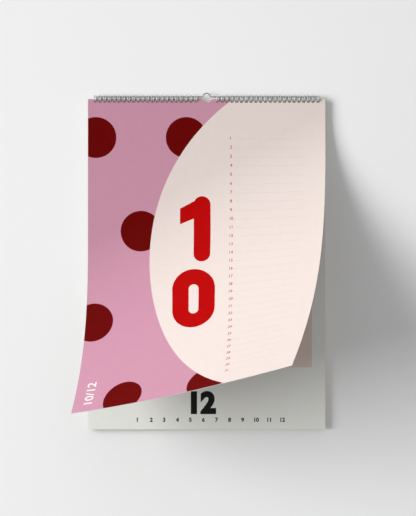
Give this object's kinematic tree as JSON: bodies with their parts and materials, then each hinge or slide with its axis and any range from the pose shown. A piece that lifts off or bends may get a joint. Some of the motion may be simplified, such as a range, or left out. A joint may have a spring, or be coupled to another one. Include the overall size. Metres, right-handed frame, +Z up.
{
  "type": "birthday calendar",
  "caption": "Wall calendar for birthdays on twin-loop wire, its front leaf lifted in a curl, with a block of leaves, a back card and a wire hanger that folds into a half-moon notch.",
  "frame": {"origin": "where the nail bears, under the crown of the hanger's arch, in the middle of its wire", "axes": "+Z up as the calendar hangs, front towards -Y, +X to the viewer's right"},
  "size_m": [0.2205, 0.1599, 0.2981],
  "materials": {
    "printed_leaf": "matt printed paper",
    "plain_paper": "matt uncoated paper",
    "grey_card": "matt grey board",
    "binding_wire": "light silver coated wire",
    "hanger_wire": "bright drawn wire"
  },
  "bodies": {
    "hanger": {"hanger": "hanger_wire"},
    "binding": {"binding_left": "binding_wire", "binding_right": "binding_wire", "page_block": "plain_paper", "back_card": "grey_card"},
    "leaf": {"front_leaf": "printed_leaf"}
  },
  "joints": [
    {"name": "hanger_fold", "type": "hinge", "parent": "hanger", "child": "binding", "pos_m": [0, 0, -0.0026], "axis": [-1, 0, 0], "range_deg": [0, 180]},
    {"name": "leaf_turn", "type": "hinge", "parent": "binding", "child": "leaf", "pos_m": [0, 0, -0.00432], "axis": [-1, 0, 0], "range_deg": [0, 80]}
  ]
}
